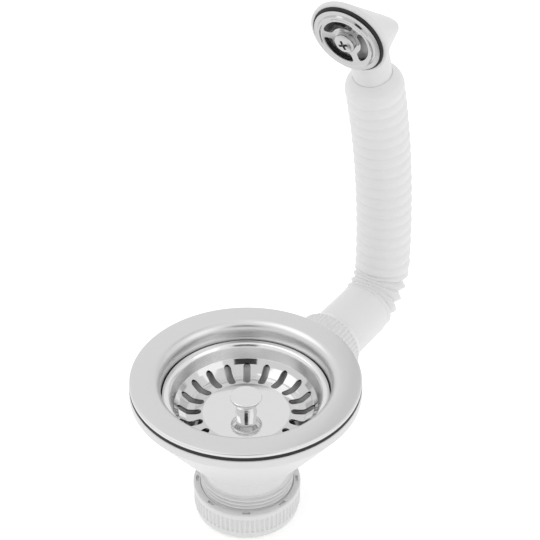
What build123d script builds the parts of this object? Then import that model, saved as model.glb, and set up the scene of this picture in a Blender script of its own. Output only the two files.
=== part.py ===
from build123d import *
import math
import os

# Kitchen sink waste with a strainer basket and a hose-fed overflow.
# Origin: centre of the brim's lower edge. +Z runs up the waste's axis, the overflow branch leaves along +Y.
os.makedirs("parts", exist_ok=True)

# Strainer cup, pressed from stainless sheet
brim_radius = 57.0
brim_height = 2.0
cup_sheet = 1.0
cup_radius = 42.0
brim_roll = 5.0
cup_wall_depth = 16.0
cup_depth = 36.0
cup_floor_radius = 27.0
drain_count = 6
drain_radius = 5.0
drain_circle = 14.0

# The two sealing rings under the brim
gasket_thickness = 0.95
gasket_inset = 0.2
gasket_roll_gap = 3.5

# Waste body, moulded: rim, cone, neck and threaded tail
body_overhang = 0.3
body_rim_height = 4.5
body_wall = 3.0
shoulder_radius = 31.5
cone_height = 35.1
neck_radius = 22.4
neck_drop = 7.0
neck_length = 8.0
tail_thread_radius = 23.9
tail_thread_length = 19.5
tail_bore_radius = 19.4

# Centre screw, its brass insert, and the boss and spokes that hold them
screw_radius = 2.9
screw_clearance = 0.2
screw_length = 12.0
screw_head_radius = 6.0
screw_head_height = 3.2
screw_crown_radius = 3.6
screw_slot_length = 6.0
screw_slot_width = 1.6
insert_radius = 4.2
insert_length = 11.0
boss_radius = 6.4
boss_length = 12.6
boss_gap = 0.5
spoke_count = 4
spoke_thickness = 2.4
spoke_height = 6.0
spoke_rise = 4.5
spoke_inset = 2.5

# Outlet nut and its tapered washer
nut_clearance = 0.3
nut_wall = 3.5
nut_height = 17.4
nut_overlap = 10.0
nut_collar = 2.4
nut_rim_height = 3.0
nut_foot_height = 5.4
nut_foot_chamfer = 1.6
nut_rib_count = 90
nut_rib_height = 0.8
pipe_hole_radius = 20.5
washer_relief = 0.9
washer_gap = 0.15
washer_bevel = 1.1
window_count = 8
window_length = 4.1
window_width = 1.5
window_depth = 2.0
window_start = 33.5

# Strainer basket, pressed: rim, wall, slotted bowl and a raised floor
basket_clearance = 1.0
basket_sheet = 0.8
basket_rim_depth = 10.4
basket_depth = 13.1
basket_lip = 1.2
basket_rim_width = 2.2
basket_rim_slope = 0.8
basket_wall_taper = 2.0
basket_wall_rise = 6.5
basket_bowl_inset = 2.4
basket_bowl_rise = 2.3
basket_trough_outer = 6.5
basket_trough_inner = 3.6
basket_trough_depth = 0.5
basket_floor_radius = 23.0
slot_count = 20
slot_width = 3.7
slot_inset = 0.6
slot_rim = 0.9
slot_start = 15.5

# Turned knob, rubber stopper, washer and screw that ride with the basket
knob_radius = 8.0
knob_height = 11.6
knob_cap = 2.8
knob_foot_radius = 5.3
knob_neck_radius = 4.6
knob_crown = 0.8
stopper_top_inset = 0.6
stopper_edge_gap = 1.6
stopper_lip_width = 3.6
stopper_thickness = 2.6
stopper_seat_gap = 0.2
stopper_washer_radius = 8.0
stopper_washer_thickness = 1.0
knob_screw_radius = 2.0
knob_screw_grip = 7.0
knob_screw_head_radius = 3.8
knob_screw_head_height = 1.8
knob_screw_slot_length = 5.3
knob_screw_slot_width = 0.9

# Overflow branch on the body, its nut and washer
branch_drop = 29.4
branch_end = 77.0
branch_radius = 16.6
branch_bore_radius = 13.6
branch_root = 26.0
hose_washer_thickness = 1.5
hose_nut_clearance = 0.3
hose_nut_start = 65.0
hose_nut_wall = 2.0
hose_nut_collar = 2.5
hose_nut_band = 2.0
hose_nut_ribs = 12.3
hose_nut_rib_count = 60
hose_nut_rib_height = 0.7
hose_nut_lip = 1.1

# Corrugated hose, blown in one piece with its cuff, flange and domed top
hose_radius = 15.25
hose_root_radius = 14.55
hose_wall = 0.9
hose_flange = 3.0
hose_flange_radius = 16.4
hose_bend_start = 114.6
hose_bend_radius = 21.0
hose_sweep_radius = 380.0
hose_lean = 19.5
hose_rings = 18
bend_rings = 5
bend_pitch = 5.7
bend_cuff = 2.6
hose_pleat = 1.78
hose_dome = 8.0
hose_dome_wall = 1.2
bore_bend_steps = 4
bore_rise_steps = 4

# Overflow elbow, with its face square to the neck
neck_reach = 35.4
neck_plug = 9.0
elbow_neck_radius = 10.0
elbow_neck_wall = 1.7
elbow_neck_fit = 0.15
elbow_face = 13.2
elbow_face_radius = 20.6
elbow_face_edge = 1.4
hood_half_width = 16.6
hood_half_depth = 11.0
hood_back = 0.4
hood_drop = 5.4
hood_round = 2.0
hood_end = 19.8
elbow_wall = 2.4
elbow_web_width = 23.0
elbow_web_height = 14.0
elbow_web_thickness = 4.0
elbow_boss_radius = 4.6
elbow_insert_radius = 3.2
elbow_insert_length = 7.0

# Overflow seal, pierced rosette and screw
seal_radius = 19.5
seal_width = 4.2
seal_thickness = 1.9
rosette_radius = 17.8
rosette_sheet = 0.9
rosette_rim_width = 1.8
rosette_bead = 1.0
rosette_bead_rise = 1.1
rosette_hub_radius = 7.0
rosette_hub_wall = 1.0
rosette_hub_depth = 1.2
rosette_slot_outer = 12.6
rosette_slot_inner = 7.2
rosette_spokes = 3
rosette_spoke_width = 3.2
rosette_spoke_start = 45.0
rosette_slot_fillet = 1.2
face_screw_radius = 2.3
face_screw_clearance = 0.2
face_screw_tip_gap = 0.5
face_screw_head_radius = 5.3
face_screw_head_height = 2.4
face_screw_dome_radius = 4.2
face_screw_dome_drop = 0.4
face_screw_flat_radius = 2.1
face_screw_recess = 1.2
face_screw_recess_width = 1.3
face_screw_recess_length = 6.0

# Heights along the waste's axis that several pieces share
cup_floor_z = brim_height - cup_depth
cup_base_z = cup_floor_z - cup_sheet
body_top_z = -2 * gasket_thickness
body_radius = brim_radius + body_overhang
cone_top_z = body_top_z - body_rim_height
shoulder_z = cone_top_z - cone_height
neck_z = shoulder_z - neck_drop
thread_z = neck_z - neck_length
tail_end_z = thread_z - tail_thread_length
nut_top_z = tail_end_z + nut_overlap
nut_bottom_z = nut_top_z - nut_height
boss_top_z = cup_base_z - boss_gap
basket_rim_z = brim_height - basket_rim_depth
basket_floor_z = basket_rim_z - basket_depth
basket_base_z = basket_floor_z - basket_sheet
basket_radius = cup_radius - basket_clearance
basket_rim_inner = basket_radius - basket_rim_width
basket_wall_top = basket_rim_inner - basket_rim_slope
basket_wall_foot = basket_wall_top - basket_wall_taper
gasket_radius = brim_radius - gasket_inset
gasket_inner_radius = cup_radius + brim_roll + gasket_roll_gap
branch_z = -branch_drop

# Hose route: straight cuff, tight bend upwards, long gentle sweep to the overflow
hose_start = branch_end + hose_washer_thickness
with BuildLine(Plane.YZ) as hose_path:
    cuff = Line((hose_start, branch_z), (hose_bend_start, branch_z))
    bend = JernArc(cuff @ 1, cuff % 1, hose_bend_radius, 90)
    rise = JernArc(bend @ 1, bend % 1, hose_sweep_radius, hose_lean)
hose_route = hose_path.wire()
hose_length = hose_route.length
hose_top = rise @ 1
hose_axis = rise % 1

# Overflow elbow's frame: face_axis points out of the face, neck_axis down its neck
neck_axis = -hose_axis
face_axis = Vector(0, -hose_axis.Z, hose_axis.Y)
elbow_centre = hose_top + hose_axis * neck_reach
face_plane = Plane(elbow_centre, x_dir=(1, 0, 0), z_dir=face_axis)
face_section = Plane(elbow_centre, x_dir=(1, 0, 0), z_dir=neck_axis)
neck_section = Plane(elbow_centre, x_dir=(1, 0, 0), z_dir=-face_axis)
face_line = Axis(elbow_centre, face_axis)
neck_line = Axis(elbow_centre, neck_axis)
branch_section = Plane.XY.offset(branch_z)
branch_line = Axis((0, 0, branch_z), (0, 1, 0))


def ribbed_ring(count, crest_radius, rib_height):
    """Corner points of a ring of V ribs, crest and root in turn."""
    points = []
    for corner in range(2 * count):
        radius = crest_radius - rib_height * (corner % 2)
        turn = math.pi * corner / count
        points.append((radius * math.cos(turn), radius * math.sin(turn)))
    return points


def sheet_outline(upper, thickness):
    """Outline of a pressed sheet, from the points along its upper side, outermost first."""
    runs = [(Vector(b) - Vector(a)).normalized() for a, b in zip(upper, upper[1:])]
    sides = [Vector(-run.Y, run.X) for run in runs]
    lower = []
    for point, before, after in zip(upper, sides[:1] + sides, sides + sides[-1:]):
        mitre = (before + after) / (1 + before.dot(after))
        lower.append(Vector(point) + mitre * thickness)
    return upper + [(point.X, point.Y) for point in reversed(lower)]


def hose_plane(distance):
    """Plane across the hose at a distance along its route."""
    share = min(distance / hose_length, 1.0)
    return Plane(hose_route @ share, x_dir=(1, 0, 0), z_dir=hose_route % share)


# Strainer cup
with BuildPart() as strainer_cup:
    with BuildSketch(Plane.XZ):
        with BuildLine():
            lip = Polyline(
                (brim_radius - cup_sheet, 0),
                (brim_radius, 0),
                (brim_radius, brim_height - cup_sheet / 2),
                (brim_radius - cup_sheet / 2, brim_height),
                (cup_radius + brim_roll, brim_height),
            )
            roll = JernArc(lip @ 1, (-1, 0), brim_roll, 90)
            Polyline(
                roll @ 1,
                (cup_radius, brim_height - cup_wall_depth),
                (cup_floor_radius, cup_floor_z),
                (0, cup_floor_z),
                (0, cup_base_z),
                (cup_floor_radius + cup_sheet / 2, cup_base_z),
                (cup_radius + cup_sheet, brim_height - cup_wall_depth - cup_sheet / 2),
                (cup_radius + cup_sheet, brim_height - brim_roll),
                (cup_radius + brim_roll, brim_height - cup_sheet),
                (brim_radius - cup_sheet, brim_height - cup_sheet),
                lip @ 0,
            )
        make_face()
    revolve(axis=Axis.Z)
    with BuildSketch(Plane.XY.offset(cup_base_z)):
        Circle(screw_radius + screw_clearance)
        with PolarLocations(drain_circle, drain_count):
            Circle(drain_radius)
    extrude(amount=cup_sheet, mode=Mode.SUBTRACT)
strainer_cup.part.label = "strainer_cup"
export_step(strainer_cup.part, "parts/strainer_cup.step")

# Seal between the brim and the sink
with BuildPart() as flange_gasket:
    with BuildSketch(Plane.XY.offset(-gasket_thickness)):
        Circle(gasket_radius)
        Circle(gasket_inner_radius, mode=Mode.SUBTRACT)
    extrude(amount=gasket_thickness)
flange_gasket.part.label = "flange_gasket"
export_step(flange_gasket.part, "parts/flange_gasket.step")

# Seal between the sink and the body's rim
with BuildPart() as body_gasket:
    with BuildSketch(Plane.XY.offset(body_top_z)):
        Circle(gasket_radius)
        Circle(gasket_inner_radius, mode=Mode.SUBTRACT)
    extrude(amount=gasket_thickness)
body_gasket.part.label = "body_gasket"
export_step(body_gasket.part, "parts/body_gasket.step")

# Waste body: cone, neck, tail, overflow branch and the boss on its spokes
cone_slope = (body_radius - shoulder_radius) / cone_height
wall_across = body_wall * math.hypot(1, cone_slope)
rim_inside_z = cone_top_z - (body_radius - wall_across - gasket_inner_radius) / cone_slope
with BuildPart() as waste_body:
    with BuildSketch(Plane.XZ):
        Polygon(
            (0, body_top_z),
            (body_radius, body_top_z),
            (body_radius, cone_top_z),
            (shoulder_radius, shoulder_z),
            (neck_radius, neck_z),
            (neck_radius, thread_z),
            (tail_thread_radius, thread_z),
            (tail_thread_radius, tail_end_z),
            (0, tail_end_z),
            align=None,
        )
    revolve(axis=Axis.Z)
    with BuildSketch(branch_section):
        Polygon((0, 0), (branch_radius, 0), (branch_radius, branch_end), (0, branch_end), align=None)
    revolve(axis=branch_line)
    with BuildSketch(Plane.XZ):
        Polygon(
            (0, body_top_z),
            (gasket_inner_radius, body_top_z),
            (gasket_inner_radius, rim_inside_z),
            (shoulder_radius - wall_across, shoulder_z),
            (tail_bore_radius, neck_z),
            (tail_bore_radius, tail_end_z),
            (0, tail_end_z),
            align=None,
        )
    revolve(axis=Axis.Z, mode=Mode.SUBTRACT)
    with BuildSketch(branch_section):
        Polygon(
            (0, branch_root),
            (branch_bore_radius, branch_root),
            (branch_bore_radius, branch_end),
            (0, branch_end),
            align=None,
        )
    revolve(axis=branch_line, mode=Mode.SUBTRACT)
    with BuildSketch(Plane.XY.offset(boss_top_z - boss_length)):
        Circle(boss_radius)
    extrude(amount=boss_length)
    with BuildSketch(Plane.XY.offset(shoulder_z + spoke_rise)):
        with PolarLocations(0, spoke_count, start_angle=180 / spoke_count):
            Rectangle(shoulder_radius - spoke_inset, spoke_thickness, align=(Align.MIN, Align.CENTER))
    extrude(amount=-spoke_height)
    with BuildSketch(Plane.XY.offset(boss_top_z)):
        Circle(insert_radius)
    extrude(amount=-insert_length, mode=Mode.SUBTRACT)
    with BuildSketch(Plane.XY.offset(boss_top_z)):
        Circle(screw_radius + screw_clearance)
    extrude(amount=-boss_length, mode=Mode.SUBTRACT)
waste_body.part.label = "waste_body"
export_step(waste_body.part, "parts/waste_body.step")

# Brass insert in the boss
with BuildPart() as body_insert:
    with BuildSketch(Plane.XY.offset(boss_top_z - insert_length)):
        Circle(insert_radius)
        Circle(screw_radius, mode=Mode.SUBTRACT)
    extrude(amount=insert_length)
body_insert.part.label = "body_insert"
export_step(body_insert.part, "parts/body_insert.step")

# Screw that draws cup and body together
with BuildPart() as centre_screw:
    with BuildSketch(Plane.XZ):
        Polygon(
            (0, cup_floor_z - screw_length),
            (screw_radius, cup_floor_z - screw_length),
            (screw_radius, cup_floor_z),
            (screw_head_radius, cup_floor_z),
            (screw_head_radius, cup_floor_z + screw_head_height / 2),
            (screw_crown_radius, cup_floor_z + screw_head_height),
            (0, cup_floor_z + screw_head_height),
            align=None,
        )
    revolve(axis=Axis.Z)
    with BuildSketch(Plane.XY.offset(cup_floor_z + screw_head_height)):
        Rectangle(screw_slot_length, screw_slot_width)
    extrude(amount=-screw_head_height / 2, mode=Mode.SUBTRACT)
centre_screw.part.label = "centre_screw"
export_step(centre_screw.part, "parts/centre_screw.step")

# Outlet nut: smooth rim, ribbed band, bevelled foot and a collar round the pipe
nut_bore = tail_thread_radius + nut_clearance
nut_radius = nut_bore + nut_wall
rib_top_z = nut_top_z - nut_rim_height
rib_bottom_z = nut_bottom_z + nut_foot_height
rib_root = nut_radius - nut_rib_height
with BuildPart() as outlet_nut:
    with BuildSketch(Plane.XZ):
        Polygon(
            (nut_bore, nut_top_z),
            (nut_radius - nut_rib_height, nut_top_z),
            (nut_radius, nut_top_z - nut_rib_height),
            (nut_radius, rib_top_z),
            (rib_root - nut_rib_height, rib_top_z),
            (rib_root - nut_rib_height, rib_bottom_z),
            (rib_root, rib_bottom_z),
            (rib_root, nut_bottom_z + nut_foot_chamfer),
            (rib_root - nut_foot_chamfer, nut_bottom_z),
            (pipe_hole_radius, nut_bottom_z),
            (pipe_hole_radius, nut_bottom_z + nut_collar),
            (nut_bore, nut_bottom_z + nut_collar),
            align=None,
        )
    revolve(axis=Axis.Z)
    with BuildSketch(Plane.XY.offset(rib_bottom_z)):
        Polygon(*ribbed_ring(nut_rib_count, nut_radius, nut_rib_height), align=None)
        Circle(rib_root - nut_wall / 2, mode=Mode.SUBTRACT)
    extrude(amount=rib_top_z - rib_bottom_z)
    with BuildSketch(Plane.XY.offset(nut_top_z)):
        with PolarLocations((nut_bore + nut_radius - nut_rib_height) / 2, window_count, window_start):
            Rectangle(window_width, window_length)
    extrude(amount=-window_depth, mode=Mode.SUBTRACT)
outlet_nut.part.label = "outlet_nut"
export_step(outlet_nut.part, "parts/outlet_nut.step")

# Tapered washer that the nut squeezes onto the pipe
washer_base_z = nut_bottom_z + nut_collar
washer_bore_radius = pipe_hole_radius + washer_relief
with BuildPart() as outlet_washer:
    with BuildSketch(Plane.XZ):
        Polygon(
            (washer_bore_radius, washer_base_z),
            (tail_thread_radius, washer_base_z),
            (tail_thread_radius, tail_end_z - washer_gap - washer_bevel),
            (tail_thread_radius - washer_bevel, tail_end_z - washer_gap),
            (washer_bore_radius, tail_end_z - washer_gap),
            align=None,
        )
    revolve(axis=Axis.Z)
outlet_washer.part.label = "outlet_washer"
export_step(outlet_washer.part, "parts/outlet_washer.step")

# Strainer basket
wall_foot_z = basket_floor_z + basket_wall_rise
trough_z = basket_floor_z - basket_trough_depth
slot_inner = basket_floor_radius + slot_inset
slot_outer = basket_wall_foot - slot_rim
between_slots = Plane.XZ.rotated((0, 0, slot_start - 180 / slot_count))
basket_profile = [
    (basket_radius, basket_rim_z - basket_lip),
    (basket_radius - basket_lip / 3, basket_rim_z - basket_lip / 3),
    (basket_radius - basket_lip, basket_rim_z),
    (basket_rim_inner, basket_rim_z),
    (basket_wall_top, basket_rim_z - basket_lip),
    (basket_wall_foot, wall_foot_z),
    (basket_wall_foot - basket_bowl_inset, basket_floor_z + basket_bowl_rise),
    (basket_wall_foot - basket_trough_outer, trough_z),
    (basket_floor_radius + basket_trough_inner, trough_z),
    (basket_floor_radius, basket_floor_z),
    (knob_screw_radius + screw_clearance, basket_floor_z),
]
with BuildPart() as basket:
    with BuildSketch(between_slots):
        Polygon(*sheet_outline(basket_profile, basket_sheet), align=None)
    revolve(axis=Axis.Z)
    with BuildSketch(Plane.XY.offset(basket_rim_z)):
        with PolarLocations((slot_inner + slot_outer) / 2, slot_count, slot_start):
            SlotOverall(slot_outer - slot_inner, slot_width)
    extrude(amount=trough_z - 2 * basket_sheet - basket_rim_z, mode=Mode.SUBTRACT)
basket.part.label = "basket"
export_step(basket.part, "parts/basket.step")

# Turned knob
cap_z = basket_floor_z + knob_height - knob_cap
with BuildPart() as knob:
    with BuildSketch(Plane.XZ):
        Polygon(
            (0, basket_floor_z),
            (knob_foot_radius, basket_floor_z),
            (knob_neck_radius, cap_z - knob_cap / 2),
            (knob_radius - knob_crown, cap_z),
            (knob_radius, cap_z + knob_crown),
            (knob_radius, cap_z + knob_cap - 2 * knob_crown),
            (knob_radius - knob_crown, cap_z + knob_cap - knob_crown),
            (0, basket_floor_z + knob_height),
            align=None,
        )
    revolve(axis=Axis.Z)
    with BuildSketch(Plane.XY.offset(basket_floor_z)):
        Circle(knob_screw_radius)
    extrude(amount=knob_screw_grip, mode=Mode.SUBTRACT)
knob.part.label = "knob"
export_step(knob.part, "parts/knob.step")

# Rubber stopper under the basket, a bell that closes the cup's floor
stopper_top_z = basket_base_z
stopper_top_radius = basket_floor_radius - stopper_top_inset
stopper_lip_radius = cup_floor_radius - stopper_edge_gap
stopper_lip_z = cup_floor_z + stopper_seat_gap
with BuildPart() as stopper:
    with BuildSketch(Plane.XZ):
        Polygon(
            (knob_screw_radius + screw_clearance, stopper_top_z),
            (stopper_top_radius, stopper_top_z),
            (stopper_lip_radius, stopper_lip_z),
            (stopper_lip_radius - stopper_lip_width, stopper_lip_z),
            (stopper_top_radius - stopper_lip_width, stopper_top_z - stopper_thickness),
            (knob_screw_radius + screw_clearance, stopper_top_z - stopper_thickness),
            align=None,
        )
    revolve(axis=Axis.Z)
stopper.part.label = "stopper"
export_step(stopper.part, "parts/stopper.step")

# Washer under the stopper
stopper_base_z = stopper_top_z - stopper_thickness
with BuildPart() as stopper_washer:
    with BuildSketch(Plane.XY.offset(stopper_base_z)):
        Circle(stopper_washer_radius)
        Circle(knob_screw_radius + screw_clearance, mode=Mode.SUBTRACT)
    extrude(amount=-stopper_washer_thickness)
stopper_washer.part.label = "stopper_washer"
export_step(stopper_washer.part, "parts/stopper_washer.step")

# Screw from below, into the knob
knob_screw_z = stopper_base_z - stopper_washer_thickness
with BuildPart() as knob_screw:
    with BuildSketch(Plane.XY.offset(knob_screw_z)):
        Circle(knob_screw_radius)
    extrude(amount=basket_floor_z + knob_screw_grip - knob_screw_z)
    with BuildSketch(Plane.XY.offset(knob_screw_z)):
        Circle(knob_screw_head_radius)
    extrude(amount=-knob_screw_head_height)
    with BuildSketch(Plane.XY.offset(knob_screw_z - knob_screw_head_height)):
        Rectangle(knob_screw_slot_length, knob_screw_slot_width)
    extrude(amount=knob_screw_head_height / 2, mode=Mode.SUBTRACT)
knob_screw.part.label = "knob_screw"
export_step(knob_screw.part, "parts/knob_screw.step")

# Hose nut: plain band, ribs, and a shoulder that tapers to the hose
hose_nut_bore = branch_radius + hose_nut_clearance
hose_nut_radius = hose_nut_bore + hose_nut_wall
hose_collar = hose_start + hose_flange
hose_nut_end = hose_collar + hose_nut_collar
hose_hole = hose_radius + hose_nut_clearance
rib_start = hose_nut_start + hose_nut_band
rib_end = rib_start + hose_nut_ribs
hose_rib_root = hose_nut_radius - hose_nut_rib_height
with BuildPart() as hose_nut:
    with BuildSketch(branch_section):
        Polygon(
            (hose_nut_bore, hose_nut_start),
            (hose_rib_root, hose_nut_start),
            (hose_rib_root, rib_end),
            (hose_hole + hose_nut_lip, hose_nut_end),
            (hose_hole, hose_nut_end),
            (hose_hole, hose_collar),
            (hose_nut_bore, hose_collar),
            align=None,
        )
    revolve(axis=branch_line)
    with BuildSketch(Plane.XZ.offset(-rib_start)):
        with Locations((0, branch_z)):
            Polygon(*ribbed_ring(hose_nut_rib_count, hose_nut_radius, hose_nut_rib_height), align=None)
            Circle(hose_nut_bore, mode=Mode.SUBTRACT)
    extrude(amount=-hose_nut_ribs)
hose_nut.part.label = "hose_nut"
export_step(hose_nut.part, "parts/hose_nut.step")

# Flat washer between the branch and the hose's flange
with BuildPart() as hose_washer:
    with BuildSketch(branch_section):
        Polygon(
            (branch_bore_radius, branch_end),
            (hose_flange_radius, branch_end),
            (hose_flange_radius, hose_start),
            (branch_bore_radius, hose_start),
            align=None,
        )
    revolve(axis=branch_line)
hose_washer.part.label = "hose_washer"
export_step(hose_washer.part, "parts/hose_washer.step")

# Corrugated hose: straight-sided rings lofted along the route, then bored out
bend_from = hose_bend_start - hose_start
bend_to = bend_from + bend.length
cuff_end = bend_from + bend_cuff
ring_start = cuff_end + bend_rings * bend_pitch
ring_end = hose_length - hose_dome
ring_pitch = (ring_end - ring_start) / hose_rings
sections = [(0, hose_radius, 0), (cuff_end - bend_pitch / 2, hose_radius, 0), (cuff_end, hose_root_radius, 0)]
for ring in range(bend_rings):
    crest = cuff_end + (ring + 0.5) * bend_pitch
    pleat = hose_pleat if ring < bend_rings - 1 else 0
    sections.append((crest, hose_radius, 0))
    sections.append((crest + bend_pitch / 2, hose_root_radius - pleat, pleat))
for ring in range(hose_rings):
    crest = ring_start + (ring + 0.5) * ring_pitch
    sections.append((crest, hose_radius, 0))
    sections.append((crest + ring_pitch / 2, hose_root_radius, 0))
neck_hole = elbow_neck_radius + elbow_neck_fit
dome_drop = hose_radius - neck_hole - hose_dome_wall / 2
for turn in (30, 60, 90):
    across = hose_radius - dome_drop * (1 - math.cos(math.radians(turn)))
    sections.append((ring_end + hose_dome * math.sin(math.radians(turn)), across, 0))
hose_bore_radius = hose_root_radius - hose_wall
bend_bore_radius = hose_bore_radius - hose_pleat
bore = [(0, hose_bore_radius, 0), (bend_from - bend_pitch, hose_bore_radius, 0)]
for step in range(bore_bend_steps + 1):
    bore.append((bend_from + bend.length * step / bore_bend_steps, bend_bore_radius, hose_pleat))
rise_from = bend_to + ring_pitch
for step in range(bore_rise_steps + 1):
    bore.append((rise_from + (ring_end - rise_from) * step / bore_rise_steps, hose_bore_radius, 0))
bore.append((hose_length - hose_dome_wall, neck_hole, 0))
bore.append((hose_length, neck_hole, 0))
with BuildPart() as hose:
    for lower, upper in zip(sections, sections[1:]):
        for distance, radius, inward in (lower, upper):
            with BuildSketch(hose_plane(distance)):
                with Locations((0, -inward)):
                    Circle(radius)
        loft(ruled=True)
    with BuildSketch(branch_section):
        Polygon(
            (0, hose_start),
            (hose_flange_radius, hose_start),
            (hose_flange_radius, hose_collar),
            (0, hose_collar),
            align=None,
        )
    revolve(axis=branch_line)
    for lower, upper in zip(bore, bore[1:]):
        for distance, radius, inward in (lower, upper):
            with BuildSketch(hose_plane(distance)):
                with Locations((0, -inward)):
                    Circle(radius)
        loft(ruled=True, mode=Mode.SUBTRACT)
hose.part.label = "hose"
export_step(hose.part, "parts/hose.step")

# Overflow elbow: a hood that slopes back from the round face and narrows to the neck in the hose
neck_end = neck_reach + neck_plug
neck_bore = elbow_neck_radius - elbow_neck_wall
seal_inner_radius = seal_radius - seal_width
insert_start = elbow_face + seal_thickness + rosette_bead_rise - rosette_hub_depth
hood_start = elbow_face - elbow_face_edge
hood_middle = elbow_centre - face_axis * hood_back + neck_axis * hood_drop
hood_plane = Plane(hood_middle, x_dir=(1, 0, 0), z_dir=-neck_axis)
neck_plane = Plane(elbow_centre + neck_axis * hood_end, x_dir=(1, 0, 0), z_dir=-neck_axis)
web_plane = Plane(elbow_centre + face_axis * hood_start, x_dir=(1, 0, 0), z_dir=-face_axis)
with BuildPart() as elbow_hollow:
    with BuildSketch(face_plane.offset(hood_start)):
        Circle(seal_inner_radius)
    extrude(amount=elbow_face_edge)
    with BuildSketch(face_plane.offset(hood_start)):
        Circle(seal_inner_radius)
    with BuildSketch(hood_plane):
        Ellipse(hood_half_width - elbow_wall, hood_half_depth - elbow_wall)
    loft(ruled=True)
    with BuildSketch(hood_plane):
        Ellipse(hood_half_width - elbow_wall, hood_half_depth - elbow_wall)
    with BuildSketch(neck_plane):
        Circle(neck_bore)
    loft(ruled=True)
    with BuildSketch(neck_plane):
        Circle(neck_bore)
    extrude(amount=hood_end - neck_end)
    with BuildSketch(face_plane.offset(elbow_face)):
        Circle(elbow_boss_radius)
    extrude(amount=-hood_end, mode=Mode.SUBTRACT)
with BuildPart() as overflow_body:
    with BuildSketch(face_plane.offset(hood_start)):
        Circle(elbow_face_radius)
    extrude(amount=elbow_face_edge)
    with BuildSketch(face_plane.offset(hood_start)):
        Circle(elbow_face_radius)
    with BuildSketch(hood_plane.offset(hood_round / 2)):
        Ellipse(hood_half_width, hood_half_depth)
    loft(ruled=True)
    with BuildSketch(hood_plane.offset(-hood_round / 2)):
        Ellipse(hood_half_width, hood_half_depth)
    extrude(amount=hood_round)
    with BuildSketch(hood_plane.offset(-hood_round / 2)):
        Ellipse(hood_half_width, hood_half_depth)
    with BuildSketch(neck_plane):
        Circle(elbow_neck_radius)
    loft(ruled=True)
    with BuildSketch(neck_plane):
        Circle(elbow_neck_radius)
    extrude(amount=hood_end - neck_end)
    with BuildSketch(web_plane):
        Rectangle(elbow_web_width, elbow_web_height, align=(Align.CENTER, Align.MIN))
    extrude(amount=elbow_web_thickness)
    add(elbow_hollow.part, mode=Mode.SUBTRACT)
    with BuildSketch(face_plane.offset(elbow_face)):
        Circle(elbow_boss_radius)
    extrude(amount=insert_start - elbow_face)
    with BuildSketch(face_plane.offset(insert_start)):
        Circle(elbow_insert_radius)
    extrude(amount=-elbow_insert_length, mode=Mode.SUBTRACT)
overflow_body.part.label = "overflow_body"
export_step(overflow_body.part, "parts/overflow_body.step")

# Brass insert in the elbow's boss
with BuildPart() as overflow_insert:
    with BuildSketch(face_plane.offset(insert_start)):
        Circle(elbow_insert_radius)
        Circle(face_screw_radius, mode=Mode.SUBTRACT)
    extrude(amount=-elbow_insert_length)
overflow_insert.part.label = "overflow_insert"
export_step(overflow_insert.part, "parts/overflow_insert.step")

# Seal on the elbow's face
with BuildPart() as overflow_seal:
    with BuildSketch(face_plane.offset(elbow_face)):
        Circle(seal_radius)
        Circle(seal_inner_radius, mode=Mode.SUBTRACT)
    extrude(amount=seal_thickness)
overflow_seal.part.label = "overflow_seal"
export_step(overflow_seal.part, "parts/overflow_seal.step")

# Pierced rosette: flat rim, raised middle, hub sunk for the screw
rosette_base = elbow_face + seal_thickness
rosette_top = rosette_base + rosette_sheet
raised_top = rosette_top + rosette_bead_rise
hub_top = raised_top - rosette_hub_depth
bead_outer = rosette_radius - rosette_rim_width
rosette_profile = [
    (rosette_radius, rosette_top),
    (bead_outer, rosette_top),
    (bead_outer - rosette_bead, raised_top),
    (rosette_hub_radius, raised_top),
    (rosette_hub_radius - rosette_hub_wall, hub_top),
    (0, hub_top),
]
with BuildPart() as overflow_rosette:
    with BuildSketch(face_section):
        Polygon(*sheet_outline(rosette_profile, rosette_sheet), align=None)
    revolve(axis=face_line)
    with BuildSketch(face_plane.offset(raised_top)) as slots:
        Circle(rosette_slot_outer)
        Circle(rosette_slot_inner, mode=Mode.SUBTRACT)
        with PolarLocations(0, rosette_spokes, rosette_spoke_start):
            Rectangle(
                rosette_radius,
                rosette_spoke_width,
                align=(Align.MIN, Align.CENTER),
                mode=Mode.SUBTRACT,
            )
        fillet(slots.vertices(), rosette_slot_fillet)
        Circle(face_screw_radius + face_screw_clearance)
    extrude(amount=-rosette_hub_depth - 2 * rosette_sheet, mode=Mode.SUBTRACT)
overflow_rosette.part.label = "overflow_rosette"
export_step(overflow_rosette.part, "parts/overflow_rosette.step")

# Pan-head screw with a cross recess, through the rosette into the insert
head_top = hub_top + face_screw_head_height
face_screw_tip = hub_top - rosette_sheet - elbow_insert_length + face_screw_tip_gap
with BuildPart() as overflow_screw:
    with BuildSketch(face_section):
        Polygon(
            (0, face_screw_tip),
            (face_screw_radius, face_screw_tip),
            (face_screw_radius, hub_top),
            (face_screw_head_radius, hub_top),
            (face_screw_head_radius, hub_top + face_screw_head_height / 2),
            (face_screw_dome_radius, head_top - face_screw_dome_drop),
            (face_screw_flat_radius, head_top),
            (0, head_top),
            align=None,
        )
    revolve(axis=face_line)
    with BuildSketch(face_plane.offset(head_top)):
        Rectangle(face_screw_recess_length, face_screw_recess_width)
        Rectangle(face_screw_recess_width, face_screw_recess_length)
    extrude(amount=-face_screw_recess, mode=Mode.SUBTRACT)
overflow_screw.part.label = "overflow_screw"
export_step(overflow_screw.part, "parts/overflow_screw.step")
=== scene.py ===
import math

import bmesh
import bpy
import numpy as np
from mathutils import Matrix, Vector


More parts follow.
